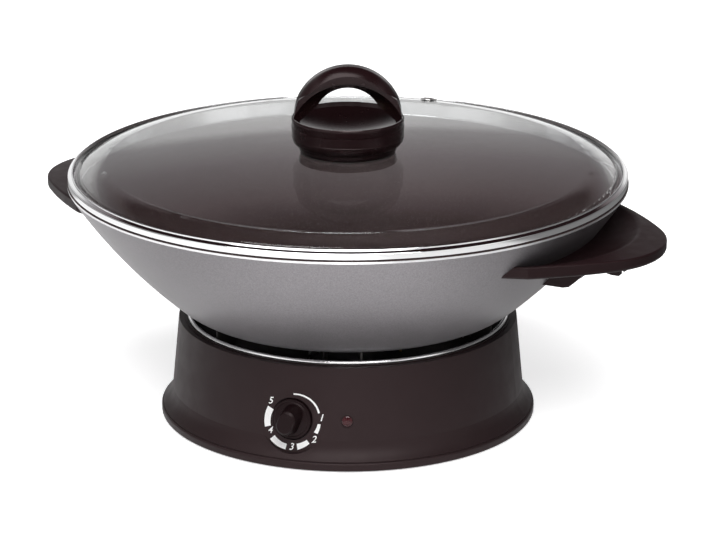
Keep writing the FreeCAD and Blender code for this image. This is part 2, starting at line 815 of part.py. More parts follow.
seal_low = glass_under - knob_seal_thick
washer_low = seal_low - knob_washer_thick


def knob_seal():
    """Silicone disc under the glass."""
    disc = drum(knob_washer_radius, seal_low, glass_under - 0.05)
    return less(disc, [drum(glass_hole_radius, 0, glass_top)])


def knob_washer():
    """Steel washer under the seal."""
    return less(drum(knob_washer_radius, washer_low, seal_low),
                [drum(knob_screw_radius + fit_gap, 0, glass_top)])


def knob_screw():
    """Screw from inside the lid into the insert."""
    low = washer_low - knob_screw_head_height
    radius = knob_screw_head_radius
    head = spun((0, low), ((radius * 0.55, low + 0.5), (radius, low + 1.6)), (radius, washer_low),
                (0, washer_low))
    shank = drum(knob_screw_radius, washer_low - 0.5, insert_top)
    slot = block((-radius, -0.7, low - 1), (radius, 0.7, low + 1.3))
    return less(joined([head, shank]), [slot])


# ---------------------------------------------------------------- base housing

lean = math.tan(math.radians(housing_wall_lean))


def housing_radius(z, inset=0.0):
    """Radius of the housing's straight outer wall at a height."""
    return housing_top_radius + (housing_top - z) * lean - inset


def on_wall(shape, bearing, height):
    """Move a shape modelled on +Z at the origin to the wall, with +Z square out and +Y up the wall.

    The bearing is in degrees round from the front, -Y.
    """
    copy = shape.copy()
    copy.rotate(ORIGIN, V(1, 0, 0), 90 - housing_wall_lean)
    copy.translate(V(0, -housing_radius(height), height))
    return turned(copy, bearing)


def on_dial(shape):
    """Move a shape modelled on +Z at the origin to the floor of the dial's well, with +Z square out."""
    return on_wall(moved(shape, V(0, 0, -dial_well_depth)), 0, dial_height)


def wall_cone(inset=0.0):
    """The straight wall carried down to the foot, filled."""
    return spun((0, 0), (housing_radius(0, inset), 0), (housing_radius(housing_top, inset), housing_top),
                (0, housing_top))


def housing_blank():
    """Outside of the housing, filled: wall, flare, crease and upright skirt."""
    flare_top = (housing_radius(housing_flare_top), housing_flare_top)
    flare_foot = (housing_flare_foot_radius, housing_flare_foot)
    skirt_top = (housing_skirt_radius - 0.7, housing_skirt_top)
    skirt_side = (housing_skirt_radius, housing_skirt_top - 1.4)
    top_out = (housing_radius(housing_top - housing_top_round), housing_top - housing_top_round)
    top_in = (housing_top_radius - housing_top_round, housing_top)
    return spun((0, housing_foot_gap), (housing_skirt_radius - 0.5, housing_foot_gap),
                (housing_skirt_radius - 0.1, housing_foot_gap + 0.5), skirt_side,
                (arc_middle(skirt_side, skirt_top, -0.2), skirt_top),
                (flare_foot[0] - 0.1, skirt_top[1] + 0.1), (flare_foot[0], flare_foot[1] + 0.5),
                (arc_middle(flare_foot, flare_top, 0.9), flare_top), top_out,
                (arc_middle(top_out, top_in, -0.25), top_in), (0, housing_top))


def housing_hollow():
    """Space inside the wall, under the top ledge."""
    flare_top = (housing_radius(housing_flare_top, housing_wall), housing_flare_top + 0.6)
    skirt_in = (housing_skirt_radius - housing_wall, housing_flare_foot - 0.4)
    ceiling = housing_top - housing_ledge_thick - housing_wall
    return spun((0, 0), (skirt_in[0], 0), skirt_in, flare_top,
                (housing_radius(ceiling, housing_wall), ceiling),
                (ledge_inner - 0.1, ceiling + housing_wall * 0.6), (0, ceiling + housing_wall * 0.6))


ledge_inner = housing_inner_lip_radius - housing_ledge_width
ledge_top = housing_top - bowl_roll_radius + 0.1
roll_centre_z = ledge_top + bowl_roll_radius + 0.05


def housing_mouth():
    """Opening in the top: the step that takes the bowl's rolled rim, and the hole below it."""
    above = housing_top + 5
    return spun((0, 0), (ledge_inner, 0), (ledge_inner, ledge_top), (housing_inner_lip_radius, ledge_top),
                (housing_inner_lip_radius, above), (0, above))


def top_groove():
    """Shallow step outside the raised inner lip of the top face."""
    inner = housing_inner_lip_radius + housing_inner_lip_width
    low = housing_top - housing_inner_lip_rise
    outer = housing_top_radius + 5
    return spun((inner, low), (outer, low), (outer, housing_top + 1), (inner, housing_top + 1))


def bowl_underside(gap):
    """Bowl and all above it, grown by a gap, for trimming what stands under it."""
    points = bowl_side(bowl_sheet + gap)
    return spun(points[0], *points[1:], (ledge_inner + 5, housing_top + 9), (0, housing_top + 9))


def pillar():
    """Web from the wall inwards, with a boss for a bowl screw and one for a cover screw, on +X."""
    floor_under = bowl_floor_z - bowl_sheet
    bowl_boss = drum(bowl_pillar_radius, pillar_low, floor_under, bowl_screw_circle)
    cover_boss = drum(cover_pillar_radius, cover_low + cover_thick, cover_pillar_top, cover_screw_circle)
    outer = housing_radius(housing_top) - 1
    web = plate(pillar_web, (bowl_screw_circle, pillar_low), (cover_screw_circle - 3, pillar_low),
                (cover_screw_circle - 3, pillar_low * 0.4), (outer, pillar_low * 0.4),
                (outer, floor_under + 8), (bowl_screw_circle, floor_under + 8))
    web = less(web, [bowl_underside(rest_gap)])
    body = joined([bowl_boss, cover_boss, web])
    pilot = small_screw_radius
    return less(body, [drum(pilot, floor_under - small_screw_length, floor_under + 1, bowl_screw_circle),
                       drum(pilot, 0, cover_low + small_screw_length, cover_screw_circle)])


def base_housing():
    """Moulded housing: cone, flare and skirt, with the dial's recess, well and pad, pillars and holes."""
    blank = housing_blank()
    shell = less(blank, [housing_hollow(), housing_mouth(), top_groove()])
    liner = on_wall(drum(dial_recess_radius + housing_wall, -30, 30), 0, dial_height)
    liner = less(liner.common(blank), [wall_cone(housing_wall)])
    pad = on_dial(drum(dial_pad_radius, -dial_pad_depth, 5)).common(blank)
    body = joined([shell, liner, pad] + ring_of(pillar(), pillar_count, pillar_start))
    recess = less(on_wall(drum(dial_recess_radius, -10, 40), 0, dial_height), [wall_cone()])
    well = on_dial(drum(dial_skirt_radius + dial_well_gap, 0, 40))
    dial_hole = on_dial(drum(bushing_radius + bushing_hole_gap, -30, 30))
    lamp_hole = on_wall(drum(lamp_radius + bushing_hole_gap, -20, 20), lamp_bearing, lamp_height)
    bezel = on_wall(drum(lamp_bezel_radius, -lamp_bezel_depth, 5), lamp_bearing, lamp_height)
    lamp_seat = drum(lamp_flange_radius + fit_gap, -20, -housing_wall + 0.5)
    lamp_seat = on_wall(lamp_seat, lamp_bearing, lamp_height)
    gland_hole = on_wall(drum(gland_radius, -20, 20), 180, gland_height)
    return less(body, [recess, well, dial_hole, lamp_hole, bezel, lamp_seat, gland_hole])


# ---------------------------------------------------------------- reflector bowl and element

def bowl_side(drop):
    """Outline of the bowl's inner face from the rim to the centre, moved outwards and down by drop."""
    rim = (bowl_roll_centre - bowl_roll_radius - bowl_sheet + 0.5 + drop, roll_centre_z)
    foot = (rim[0] - 0.8, rim[1] - bowl_wall_foot * 0.25)
    floor = (bowl_floor_radius + drop * 0.4, bowl_floor_z - drop)
    return [(0, floor[1]), floor, (arc_middle(floor, foot, -4.6), foot), rim]


def reflector_bowl():
    """Spun steel bowl with a rolled rim."""
    inner = bowl_side(0.0)
    outer = bowl_side(bowl_sheet)
    sheet = spun(outer[0], *outer[1:], inner[-1], inner[-2][1], (inner[-2][0], inner[1]), inner[0])
    roll = Part.makeTorus(bowl_roll_centre, bowl_roll_radius, V(0, 0, roll_centre_z))
    screws = ring_of(drum(small_screw_radius + 0.1, 0, 60, bowl_screw_circle), pillar_count, pillar_start)
    legs = [drum(element_radius + 0.4, 0, 60, p.x, p.y) for p in element_leg_points()]
    capillary = drum(capillary_radius + 0.6, 0, 60, capillary_points()[1].x, 0)
    return less(joined([sheet, roll]), screws + legs + [capillary])


def bowl_space():
    """Inside of the bowl, filled."""
    inner = bowl_side(0.0)
    return spun(inner[0], *inner[1:], (inner[-1][0], housing_top + 12), (0, housing_top + 12))


def pan_supports():
    """Thin fins on the bowl wall that the pan rests on."""
    top = pan_floor_z + 8
    edge = bowl_roll_centre
    inner = pan_floor_radius - support_overlap
    fin = plate(support_thick, (inner, pan_floor_z - support_drop * 0.6), (inner, top), (edge, top),
                (edge, pan_floor_z - support_drop * 1.6), (inner + 6, pan_floor_z - support_drop))
    fin = less(fin.common(bowl_space()), [pan_blank(rest_gap)])
    return grouped(ring_of(fin, support_count, support_start))


element_z = pan_floor_z - rest_gap - element_radius


def element_turn_angles():
    """Start and end of both turns, in degrees from +X: the opening faces the back."""
    inner_gap = element_gap_angle * element_outer_turn / element_inner_turn
    return 90 - element_gap_angle, 90 - inner_gap


def element_leg_points():
    """Where the two legs go down through the bowl."""
    outer, inner = element_turn_angles()
    points = []
    for radius, angle in ((element_outer_turn, outer), (element_inner_turn, inner)):
        start = on_circle(radius, angle)
        along = on_circle(element_bend, angle + 90)
        points.append(start + along)
    return points


def element_path():
    """Centre line: up a leg, round the outer turn, back by a hairpin round the inner turn, down a leg."""
    z = element_z
    outer, inner = element_turn_angles()
    legs = element_leg_points()
    far = -270 + element_gap_angle * 1.9
    half = math.sqrt(0.5)
    edges = []
    starts = []
    for leg, radius, angle in zip(legs, (element_outer_turn, element_inner_turn), (outer, inner)):
        foot = V(leg.x, leg.y, element_leg_bottom)
        bend = V(leg.x, leg.y, z - element_bend)
        touch = on_circle(radius, angle, z)
        middle = touch + on_circle(element_bend * half, angle + 90)
        middle.z = z - element_bend * (1 - half)
        edges.append([Part.LineSegment(foot, bend).toShape(), Part.Arc(bend, middle, touch).toShape()])
        starts.append(angle)
    turns = []
    for radius, start in zip((element_outer_turn, element_inner_turn), starts):
        turns.append(Part.Arc(on_circle(radius, start, z), on_circle(radius, (start + far) / 2, z),
                              on_circle(radius, far, z)).toShape())
    hairpin_centre = (element_outer_turn + element_inner_turn) / 2
    half_gap = (element_outer_turn - element_inner_turn) / 2
    tip = on_circle(hairpin_centre, far, z) + on_circle(half_gap, far - 90)
    hairpin = Part.Arc(on_circle(element_outer_turn, far, z), tip, on_circle(element_inner_turn, far, z))
    return Part.Wire(edges[0] + [turns[0], hairpin.toShape(), turns[1]] + edges[1][::-1])


def tube(path, radius):
    """Round tube along a wire."""
    first = path.OrderedEdges[0]
    start = first.valueAt(first.FirstParameter)
    if path.OrderedVertexes[0].Point.distanceToPoint(start) > 1e-6:
        start = first.valueAt(first.LastParameter)
    circle = Part.Wire(Part.makeCircle(radius, start, first.tangentAt(first.FirstParameter)))
    return path.makePipeShell([circle], True, True)


def heating_element():
    """Sheathed tube."""
    return tube(element_path(), element_radius)


def element_pins():
    """Cold pins that stand out of the two legs."""
    high = element_leg_bottom
    low = high - element_pin_length
    return grouped([drum(element_pin_radius, low, high, p.x, p.y) for p in element_leg_points()])


def element_cradles():
    """Plates on the bowl's floor, notched for both turns."""
    inner = element_inner_turn - element_radius - 4
    outer = element_outer_turn + element_radius + 4
    top = element_z
    bar = plate(cradle_thick, (inner, bowl_floor_z), (inner, top), (outer, top), (outer, bowl_floor_z))
    notches = [Part.makeTorus(turn, element_radius + 0.05, V(0, 0, element_z))
               for turn in (element_inner_turn, element_outer_turn)]
    window = plate(cradle_thick + 2, (inner + 5, bowl_floor_z + 4), (inner + 5, top - 9),
                   (outer - 5, top - 9), (outer - 5, bowl_floor_z + 4))
    return grouped(ring_of(less(bar, notches + [window]), cradle_count, cradle_start))


def sensor_rod():
    """Cylinder of the sensing bulb, lying across the middle."""
    start = V(-sensor_length / 2, 0, sensor_height)
    return Part.makeCylinder(sensor_radius, sensor_length, start, V(1, 0, 0))


def sensor_bulb():
    """Sensing bulb of the thermostat, with rounded ends."""
    bulb = sensor_rod()
    return bulb.makeFillet(sensor_radius * 0.6, [edge for edge in bulb.Edges if edge.isClosed()])


def sensor_bracket():
    """Strip bridge on the bowl's floor with two posts that clip the bulb."""
    half = sensor_strip_width / 2
    reach = sensor_post_x + half
    foot = block((-reach, -half, bowl_floor_z), (reach, half, bowl_floor_z + sensor_strip))
    top = sensor_height + 1
    posts = []
    for x in (-sensor_post_x, sensor_post_x):
        low = (x - sensor_strip / 2, -half, bowl_floor_z)
        posts.append(block(low, (x + sensor_strip / 2, half, top)))
    return less(joined([foot] + posts), [sensor_rod()])


def capillary_points():
    """Corners of the capillary's route, from the bulb down through the bowl and to the thermostat's back."""
    end = sensor_length / 2
    drop = V(end + capillary_bend + 2, 0, sensor_height)
    low = V(drop.x, 0, dial_height - 1.3)
    back = -housing_radius(dial_height) + dial_well_depth + dial_pad_depth + thermostat_depth + fit_gap
    corner = V(drop.x, back + 2.5 * capillary_bend, low.z)
    turn = V(thermostat_width / 4, corner.y, low.z)
    return [V(end, 0, sensor_height), drop, low, corner, turn, V(turn.x, back, low.z)]


def capillary_tube():
    """Thin tube between the bulb and the thermostat."""
    return tube(rounded_wire(capillary_points(), capillary_bend), capillary_radius)


def rounded_wire(points, radius):
    """Straight runs joined by tangent arcs of one radius."""
    edges = []
    here = points[0]
    for before, corner, after in zip(points, points[1:], points[2:]):
        inward = (before - corner).normalize()
        outward = (after - corner).normalize()
        half = inward.getAngle(outward) / 2
        reach = radius / math.tan(half)
        first = corner + inward * reach
        last = corner + outward * reach
        centre = corner + (inward + outward).normalize() * (radius / math.sin(half))
        middle = centre + (corner - centre).normalize() * radius
        edges.append(Part.LineSegment(here, first).toShape())
        edges.append(Part.Arc(first, middle, last).toShape())
        here = last
    edges.append(Part.LineSegment(here, points[-1]).toShape())
    return Part.Wire(edges)


# ---------------------------------------------------------------- fasteners, cover, feet

def small_screw(low, up):
    """Pan head screw whose head's seat is at height low; up is +1 when the shank points up."""
    head = drum(small_screw_head_radius, 0, small_screw_head_height)
    shank = drum(small_screw_radius, -small_screw_length + 0.5, 0.2)
    slot = block((-small_screw_head_radius, -0.5, small_screw_head_height - 0.7),
                 (small_screw_head_radius, 0.5, small_screw_head_height + 1))
    screw = less(joined([head, shank]), [slot])
    if up > 0:
        screw.rotate(ORIGIN, V(1, 0, 0), 180)
    screw.translate(V(0, 0, low))
    return screw


def bowl_screws():
    """Screws through the bowl's floor into the pillars."""
    screw = moved(small_screw(bowl_floor_z, -1), V(bowl_screw_circle, 0, 0))
    return grouped(ring_of(screw, pillar_count, pillar_start))


def cover_screws():
    """Screws up through the cover into the pillars."""
    screw = moved(small_screw(cover_low, 1), V(cover_screw_circle, 0, 0))
    return grouped(ring_of(screw, pillar_count, pillar_start))


def bottom_cover():
    """Flat cover with cooling slots, and holes for screws and feet."""
    high = cover_low + cover_thick
    disc = drum(cover_radius, cover_low, high)
    half = cover_slot_width / 2
    slot = joined([block((cover_slot_inner, -half, 0), (cover_slot_outer, half, high + 1)),
                   drum(half, 0, high + 1, cover_slot_inner), drum(half, 0, high + 1, cover_slot_outer)])
    slots = ring_of(slot, cover_slot_count, 0)
    screw_hole = drum(small_screw_radius + 0.1, 0, high + 1, cover_screw_circle)
    screws = ring_of(screw_hole, pillar_count, pillar_start)
    feet = ring_of(drum(foot_plug_radius, 0, high + 1, foot_circle), foot_count, foot_start)
    return less(disc, slots + screws + feet)


def rubber_feet():
    """Feet pushed through the cover."""
    high = cover_low + cover_thick
    foot = spun((0, 0), (foot_radius - 1.0, 0), (foot_radius, 0.6), (foot_radius - 0.8, cover_low),
                (foot_plug_radius, cover_low), (foot_plug_radius, high), (foot_head_radius, high),
                (foot_plug_radius, high + foot_head_height), (0, high + foot_head_height))
    return grouped(ring_of(moved(foot, V(foot_circle, 0, 0)), foot_count, foot_start))


# ---------------------------------------------------------------- dial, lamp, gland and electrics

def hexagon(width, low, high):
    """Hexagonal bar."""
    radius = width / math.sqrt(3)
    corners = [on_circle(radius, 60 * i, low) for i in range(7)]
    return Part.Face(Part.makePolygon(corners)).extrude(V(0, 0, high - low))


def spindle_shape():
    """Round spindle with a flat at its outer end, on +Z."""
    rod = drum(spindle_radius, -spindle_depth, spindle_reach)
    flat = block((-spindle_radius, spindle_radius - spindle_flat, bushing_reach + 0.5),
                 (spindle_radius, spindle_radius + 1, spindle_reach + 1))
    return less(rod, [flat])


def thermostat_body():
    """Thermostat with its bushing, front plate and two tabs, on +Z."""
    back = -dial_pad_depth - thermostat_depth
    front = -dial_pad_depth
    half_w = thermostat_width / 2
    half_h = thermostat_height / 2
    case = block((-half_w, -half_h, back), (half_w, half_h, front - 1.2))
    upright = [edge for edge in case.Edges if abs(edge.BoundBox.ZLength - edge.Length) < 1e-6]
    case = case.makeChamfer(2.0, upright)
    front_plate = drum(dial_pad_radius - 2, front - 1.4, front)
    bushing = drum(bushing_radius, front - 2, bushing_reach)
    tabs = [block((x - 3, -half_h + 3, back - 7), (x + 3, -half_h + 3.8, back + 1)) for x in (-9, 9)]
    bore = drum(spindle_radius + shaft_clearance, -spindle_depth - 1, bushing_reach + 5)
    return less(joined([case, front_plate, bushing] + tabs), [bore])


def dial_knob():
    """Skirted knob with a raised grip bar, on +Z."""
    low = dial_floor_gap
    skirt_top = low + dial_skirt_height
    dome_top = skirt_top + dial_dome_height
    inner = dial_skirt_radius - 1.6
    brow = (inner - 0.7, skirt_top + 0.5)
    body = spun((0, low), (dial_skirt_radius - 0.3, low), (dial_skirt_radius, low + 0.4),
                (dial_skirt_radius - 0.2, skirt_top - 0.5),
                ((dial_skirt_radius - 0.4, skirt_top - 0.1), (dial_skirt_radius - 0.8, skirt_top)),
                (inner, skirt_top), brow, (crown_middle(brow, (0, dome_top)), (0, dome_top)))
    bar = turned(grip_bar(skirt_top - 0.5, dome_top + dial_bar_height), -dial_bar_turn)
    cavity = drum(dial_cavity_radius, 0, bushing_reach + dial_cavity_gap)
    return less(joined([body, bar]), [cavity, spindle_shape()])


def grip_bar(low, high):
    """Tapered bar with round ends, lofted from its foot to its slightly smaller top."""
    sections = []
    for z, shrink in ((low, 0.0), (high - 1.0, dial_bar_lean), (high, dial_bar_lean + 0.7)):
        half = dial_bar_width / 2 - shrink
        reach = dial_bar_length / 2 - dial_bar_width / 2 - shrink
        edges = [
            Part.LineSegment(V(half, -reach, z), V(half, reach, z)).toShape(),
            Part.Arc(V(half, reach, z), V(0, reach + half, z), V(-half, reach, z)).toShape(),
            Part.LineSegment(V(-half, reach, z), V(-half, -reach, z)).toShape(),
            Part.Arc(V(-half, -reach, z), V(0, -reach - half, z), V(half, -reach, z)).toShape(),
        ]
        sections.append(Part.Wire(edges))
    return Part.makeLoft(sections, True, True)


def thermostat_nut():
    """Nut on the bushing, hidden in the knob."""
    nut = hexagon(nut_width, 0, nut_thick)
    return less(nut, [drum(bushing_radius, -1, nut_thick + 1)])


def lamp_lens():
    """Red lens pushed through the wall from inside, domed outside, on +Z."""
    flange_top = -housing_wall + 0.5
    low = flange_top - lamp_flange_thick
    dome = crown_middle((lamp_radius, 0), (0, lamp_dome))
    return spun((0, low), (lamp_flange_radius, low), (lamp_flange_radius, flange_top),
                (lamp_radius, flange_top), (lamp_radius, 0), (dome, (0, lamp_dome)))


def lamp_neon():
    """Neon lamp behind the lens, on +Z."""
    top = -housing_wall + 0.5 - lamp_flange_thick
    bulb = drum(neon_radius, top - neon_length, top)
    base = drum(neon_radius + 1.2, top - neon_length - 4, top - neon_length + 2)
    return joined([bulb, base])


def cord_gland():
    """Bushing in the wall for the mains cord, on +Z."""
    back = -housing_wall - 2.4
    return spun((gland_bore_radius, back), (gland_radius - 0.6, back), (gland_radius, back + 1.2),
                (gland_radius, 0.1), (gland_flange_radius, 0.1),
                (gland_flange_radius - 0.5, gland_flange_thick),
                (gland_bore_radius + 0.8, gland_flange_thick + 0.4),
                (gland_bore_radius, gland_flange_thick - 0.2))


def terminal_block():
    """Ceramic block on the cover, with a row of screw wells."""
    low = cover_low + cover_thick
    body = block((-terminal_length / 2, terminal_y - terminal_width / 2, low),
                 (terminal_length / 2, terminal_y + terminal_width / 2, low + terminal_height))
    pitch = terminal_length / terminal_ways
    wells = []
    for i in range(terminal_ways):
        x = (i - (terminal_ways - 1) / 2) * pitch
        wells.append(drum(2.8, low + terminal_height - 6, low + terminal_height + 1, x, terminal_y))
    return less(body, wells)


def thermal_fuse():
    """Fuse held against the underside of the bowl by its strap."""
    z = bowl_floor_z - bowl_sheet - fuse_radius
    body = Part.makeCylinder(fuse_radius, fuse_length, V(-fuse_length / 2, fuse_y, z), V(1, 0, 0))
    top = z + fuse_radius
    reach = fuse_radius + 6
    strap = block((-4, fuse_y - reach, top - 1), (4, fuse_y + reach, top))
    return joined([body, strap])


# ---------------------------------------------------------------- nodes

def base_nodes():
    """Pieces of the base, dial at the front."""
    return {
        "base_housing": base_housing(),
        "bottom_cover": bottom_cover(),
        "cover_screws": cover_screws(),
        "rubber_feet": rubber_feet(),
        "reflector_bowl": reflector_bowl(),
        "bowl_screws": bowl_screws(),
        "pan_supports": pan_supports(),
        "heating_element": heating_element(),
        "element_pins": element_pins(),
        "element_cradles": element_cradles(),
        "sensor_bulb": sensor_bulb(),
        "sensor_bracket": sensor_bracket(),
        "capillary_tube": capillary_tube(),
        "thermal_fuse": thermal_fuse(),
        "terminal_block": terminal_block(),
        "thermostat_body": on_dial(thermostat_body()),
        "thermostat_nut": on_dial(thermostat_nut()),
        "pilot_lamp_lens": on_wall(lamp_lens(), lamp_bearing, lamp_height),
        "pilot_lamp_neon": on_wall(lamp_neon(), lamp_bearing, lamp_height),
        "cord_gland": on_wall(cord_gland(), 180, gland_height),
        "dial_knob": on_dial(dial_knob()),
        "dial_spindle": on_dial(spindle_shape()),
    }


def pan_nodes():
    """Pieces of the pan, handles on X."""
    right = handle()
    bracket = handle_bracket()
    return {
        "pan_shell": pan_shell(),
        "handle_right": right,
        "handle_left": turned(right, 180),
        "handle_bracket_right": bracket,
        "handle_bracket_left": turned(bracket, 180),
        "handle_screws": grouped(ring_of(handle_screw(), 2, 0)),
    }


def lid_nodes():
    """Pieces of the lid, arch along X."""
    return {
        "lid_glass": lid_glass(),
        "lid_rim": lid_rim(),
        "vent_eyelet": vent_eyelet(),
        "knob_seat": knob_seat(),
        "knob_base": knob_base(),
        "lid_knob": lid_knob(),
        "knob_insert": knob_insert(),
        "knob_seal": knob_seal(),
        "knob_washer": knob_washer(),
        "knob_screw": knob_screw(),
    }


def main():
    """Build every node, turn it with its part, and write it."""
    os.makedirs("parts", exist_ok=True)
    for nodes, turn in ((base_nodes(), base_turn), (pan_nodes(), 0.0), (lid_nodes(), lid_turn)):
        for name, shape in nodes.items():
            turned(shape, turn).exportStep("parts/" + name + ".step")


main()
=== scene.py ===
"""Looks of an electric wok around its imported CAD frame: materials, two rims, the scale, lights and camera.

Metres, in the row frame: +Z up, the dial on the -Y side, the pan's handles along X.
"""

import math

import bpy
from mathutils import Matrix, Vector


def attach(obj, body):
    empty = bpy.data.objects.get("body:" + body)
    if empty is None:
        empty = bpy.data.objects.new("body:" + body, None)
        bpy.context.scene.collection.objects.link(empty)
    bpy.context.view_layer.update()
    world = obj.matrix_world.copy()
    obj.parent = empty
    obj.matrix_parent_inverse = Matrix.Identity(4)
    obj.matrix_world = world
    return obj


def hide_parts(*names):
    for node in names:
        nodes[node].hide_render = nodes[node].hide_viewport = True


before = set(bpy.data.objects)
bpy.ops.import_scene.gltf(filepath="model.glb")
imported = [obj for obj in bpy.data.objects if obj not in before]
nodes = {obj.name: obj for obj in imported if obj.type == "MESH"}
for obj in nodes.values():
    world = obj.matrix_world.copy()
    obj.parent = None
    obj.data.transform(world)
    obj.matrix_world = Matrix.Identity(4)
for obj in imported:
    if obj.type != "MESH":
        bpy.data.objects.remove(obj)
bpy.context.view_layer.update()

MM = 0.001

# Camera
camera_target = Vector((0, 0, 0.090))
camera_distance = 2.200
camera_elevation = math.radians(18.06)
camera_azimuth = math.radians(26.1)
photo_width, photo_height = 716, 540
focal_pixels = 3390.5
target_pixel = (347.86, 275.50)
sensor_width = 36.0

# Pan: foot of the bright lip, height of the bottom, and the leans that tell lip and inside from the rest
pan_lip_low = 0.1555
pan_bottom = 0.070
bottom_margin = 0.1 * MM
lip_facing = 0.9
inside_facing = 0.02

# Reflector bowl's rolled rim: everything above and outside of these is plated
bowl_roll_inner = 0.1012
bowl_roll_low = 0.063

# Even skin over the bowl's rolled rim, in millimetres
roll_radius = 102.9
roll_middle = 66.3
roll_half = 1.6
roll_steps = 24

# Lid rim, in millimetres: a band over the pan's lip, a narrow flange with a raised bead, and a skirt
rim_radius = 179.6
rim_low = 157.3
rim_band_top = 161.9
rim_round = 0.8
rim_sheet = 0.7
rim_channel_low = 158.0
flange_inset = 0.15
flange_outer_rise = 0.08
flange_inner_rise = 0.85
bead_radius = 176.65
bead_middle = 163.35
bead_half = 0.4
bead_foot = 161.5
bead_steps = 8
bead_foot_bevel = 0.1
bead_corner = 0.4
skirt_top_radius = 175.2
skirt_foot_radius = 172.9
skirt_foot = 149.0
skirt_hem = 0.7
turning_steps = 360
crease_angle = math.radians(35)

# Housing wall, and the scale printed on it, which climbs to the right and sits a little off the dial's centre
dial_height = 30.5 * MM
dial_bearing = math.radians(8.1)
wall_lean = math.radians(5.6)
wall_radius = 109.7 * MM
wall_top = 65.8 * MM
scale_radius = 17.2 * MM
scale_offset = 0.7 * MM
scale_drop = 0.7 * MM
scale_slope = 0.115
print_lift = 0.12 * MM
digit_size = 6.2 * MM
digit_weight = 0.07 * MM
digit_slant = 0.25
arc_step = math.radians(3)
# Arcs: clock angles of both ends in degrees, and the width at each in millimetres
scale_arcs = (
    (0, 75.7, 0.9, 1.2),
    (99.4, 119.5, 1.8, 2.7),
    (143.4, 169.3, 3.2, 4.0),
    (193.3, 231.4, 3.7, 4.1),
    (257.2, 298.9, 4.2, 4.5))
# Digits from 1: clock angle in degrees, and distance from the dial's centre in millimetres
scale_digits = ((86.8, 18.2), (132.4, 18.7), (181.9, 16.9), (247.5, 16.4), (309.8, 20.0))

# Brightness of the backdrop in shiny surfaces, by the sine of the elevation
backdrop_stops = (
    (0.18, (1, 1, 1, 1)),
    (0.245, (0.80, 0.80, 0.80, 1)),
    (0.265, (0.48, 0.47, 0.48, 1)),
    (0.329, (0.295, 0.275, 0.285, 1)),
    (0.405, (0.180, 0.148, 0.154, 1)),
    (0.455, (0.016, 0.008, 0.009, 1)))

# Backdrop's sides: its ramp sinks to the right, and it is shaded towards two bearings, in degrees.
# Each range holds two places, and the value at each.
backdrop_shift = (-0.4, 0.8, 0.0, math.sin(math.radians(9)))
backdrop_right_bearing = 20
backdrop_right = (0.58, 0.85, 0, 0.85)
backdrop_left_bearing = 160
backdrop_left = (0.58, 0.88, 0, 0.7)
fill_light = (0.36, 0.355, 0.36, 1)

# Floor: its glow, and its shade in mirrored rays at two distances in metres
floor_half = 6.0
floor_glow = 0.6
floor_right = (0.05, 0.20, 0.0, 0.55)
floor_left = (-0.20, -0.05, 0.34, 0.0)
floor_back = (0.35, 0.46, 0.0, 0.75)
floor_right_back = (0.0, 0.34, 0.0, 0.9)

lamp_aim = Vector((0, 0, 0.1))

FLOOR_WHITE = (0.9, 0.9, 0.9, 1)
FLOOR_SHADED = (0.05, 0.05, 0.05, 1)
FLOOR_BOUNCE = (0.35, 0.35, 0.35, 1)
WHITE_PRINT = (1.0, 1.0, 0.99, 1)
WORN_PRINT = (0.45, 0.44, 0.43, 1)
WARM_SHEEN = (1.0, 0.86, 0.86, 1)


# ---------------------------------------------------------------- node helpers

def new_material(name, **inputs):
    """Material with a Principled shader; keywords are input names with _ for a space."""
    material = bpy.data.materials.new(name)
    material.use_nodes = True
    shader = material.node_tree.nodes["Principled BSDF"]
    for key, value in inputs.items():
        shader.inputs[key.replace("_", " ")].default_value = value
    return material, material.node_tree, shader


def place(tree):
    """Coordinates in the row frame, in metres."""
    return tree.nodes.new("ShaderNodeTexCoord").outputs["Object"]


def noise(tree, size, detail=2.0, roughness=0.5):
    """Noise from 0 to 1 with features of a size in metres."""
    node = tree.nodes.new("ShaderNodeTexNoise")
    node.inputs["Scale"].default_value = 1 / size
    node.inputs["Detail"].default_value = detail
    node.inputs["Roughness"].default_value = roughness
    tree.links.new(place(tree), node.inputs["Vector"])
    return node.outputs["Fac"]


def speckle(tree, size):
    """Random value for each small cell."""
    node = tree.nodes.new("ShaderNodeTexVoronoi")
    node.inputs["Scale"].default_value = 1 / size
    tree.links.new(place(tree), node.inputs["Vector"])
    return channel(tree, node.outputs["Color"], 0)


def channel(tree, value, index):
    """One of the three parts of a colour or vector."""
    split = tree.nodes.new("ShaderNodeSeparateXYZ")
    tree.links.new(value, split.inputs[0])
    return split.outputs[index]


def maths(tree, operation, first, second=0.0):
    """Math node on sockets or numbers."""
    node = tree.nodes.new("ShaderNodeMath")
    node.operation = operation
    for socket, value in zip(node.inputs, (first, second)):
        if isinstance(value, (int, float)):
            socket.default_value = value
        else:
            tree.links.new(value, socket)
    return node.outputs[0]


def remap(tree, value, start, end, low, high, smooth=False):
    """Value mapped from start..end to low..high, and held beyond."""
    node = tree.nodes.new("ShaderNodeMapRange")
    node.interpolation_type = "SMOOTHSTEP" if smooth else "LINEAR"
    for name, number in (("From Min", start), ("From Max", end), ("To Min", low), ("To Max", high)):
        node.inputs[name].default_value = number
    tree.links.new(value, node.inputs["Value"])
    return node.outputs["Result"]


def graded(tree, value, stops):
    """Colour read off a straight-line ramp of (position, colour) stops."""
    node = tree.nodes.new("ShaderNodeValToRGB")
    ramp = node.color_ramp
    while len(ramp.elements) < len(stops):
        ramp.elements.new(0.5)
    for element, (position, colour) in zip(ramp.elements, stops):
        element.position = position
        element.color = colour
    tree.links.new(value, node.inputs[0])
    return node.outputs[0]


